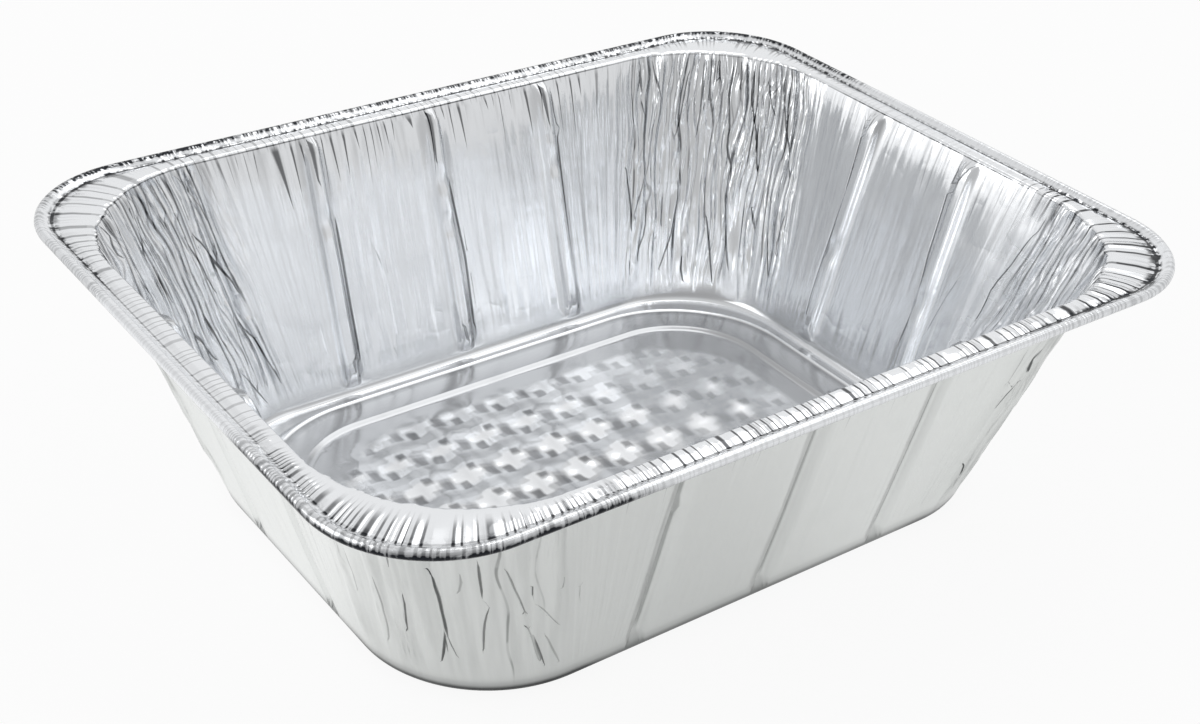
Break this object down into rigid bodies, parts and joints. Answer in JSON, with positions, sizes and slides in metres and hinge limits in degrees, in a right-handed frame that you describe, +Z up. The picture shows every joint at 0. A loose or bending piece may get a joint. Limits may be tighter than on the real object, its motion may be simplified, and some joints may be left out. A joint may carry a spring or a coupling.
{
  "type": "foil roasting pan",
  "caption": "Deep rectangular roasting pan pressed from aluminium foil, with ribbed sloping walls, pleated corners, a rolled rim and an embossed raised floor.",
  "frame": {"origin": "centre of the standing ring, at table height", "axes": "+X along the long side, +Y along the short side, +Z up out of the mouth"},
  "size_m": [0.324, 0.264, 0.0985],
  "materials": {
    "foil": "bright soft foil"
  },
  "bodies": {
    "root": {"foil_pan": "foil"}
  },
  "joints": []
}
